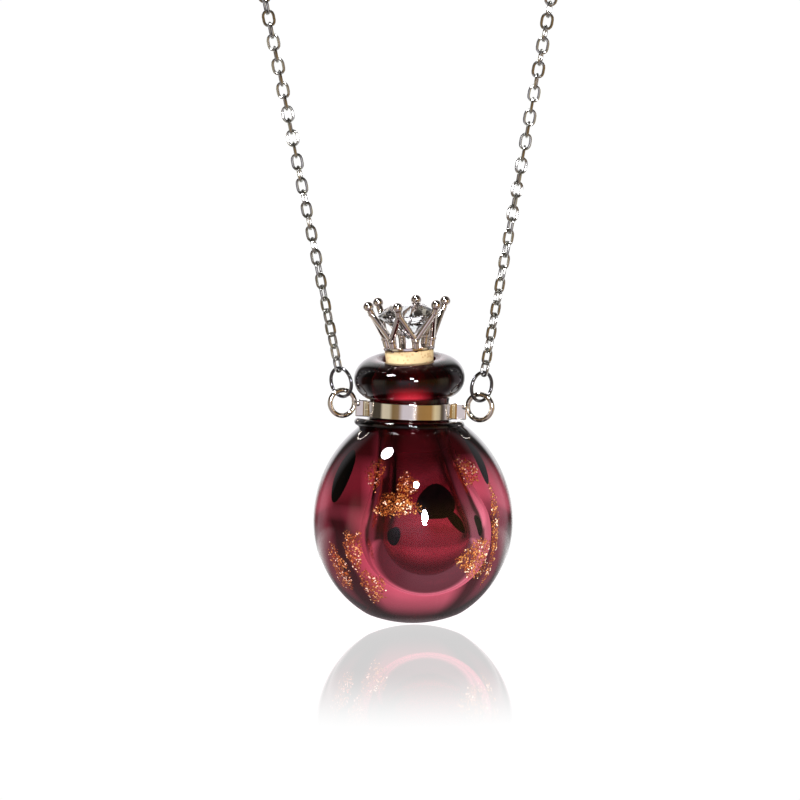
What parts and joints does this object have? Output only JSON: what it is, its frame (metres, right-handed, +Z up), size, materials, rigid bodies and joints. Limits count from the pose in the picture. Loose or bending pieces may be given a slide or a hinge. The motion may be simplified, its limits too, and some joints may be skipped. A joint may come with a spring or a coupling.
{
  "type": "bottle pendant necklace",
  "caption": "Round hollow glass bottle pendant with a lifting crown stopper, hung by a silver collar and jump rings from a fine cable chain necklace.",
  "frame": {"origin": "hang point at the top of the necklace's loop, inside the clasp", "axes": "+Z up along the hanging necklace, +X to the viewer's right, -Y towards the viewer, out of the front of the pendant"},
  "size_m": [0.068, 0.025, 0.1976],
  "materials": {
    "burgundy_glass": "clear burgundy purple blown glass, very glossy",
    "polished_silver": "polished silver",
    "chain_silver": "bright silver with dark reflections",
    "pale_cork": "pale smooth cork, matt",
    "clear_stone": "clear faceted stone, polished"
  },
  "bodies": {
    "necklace": {"chain_left": "chain_silver", "chain_right": "chain_silver", "clasp": "chain_silver", "jump_ring_left": "polished_silver", "jump_ring_right": "polished_silver"},
    "pendant": {"bottle": "burgundy_glass", "collar": "polished_silver"},
    "stopper": {"cork": "pale_cork", "crown": "polished_silver", "stone": "clear_stone"}
  },
  "joints": [
    {"name": "pendant_swing", "type": "hinge", "parent": "necklace", "child": "pendant", "pos_m": [-0.00008, 0, -0.16807], "axis": [0.9991, 0, -0.0419], "range_deg": [-45, 45]},
    {"name": "stopper_lift", "type": "slide", "parent": "pendant", "child": "stopper", "axis": [-0.0383, -0.0523, 0.9979], "range_m": [0, 0.01]}
  ]
}
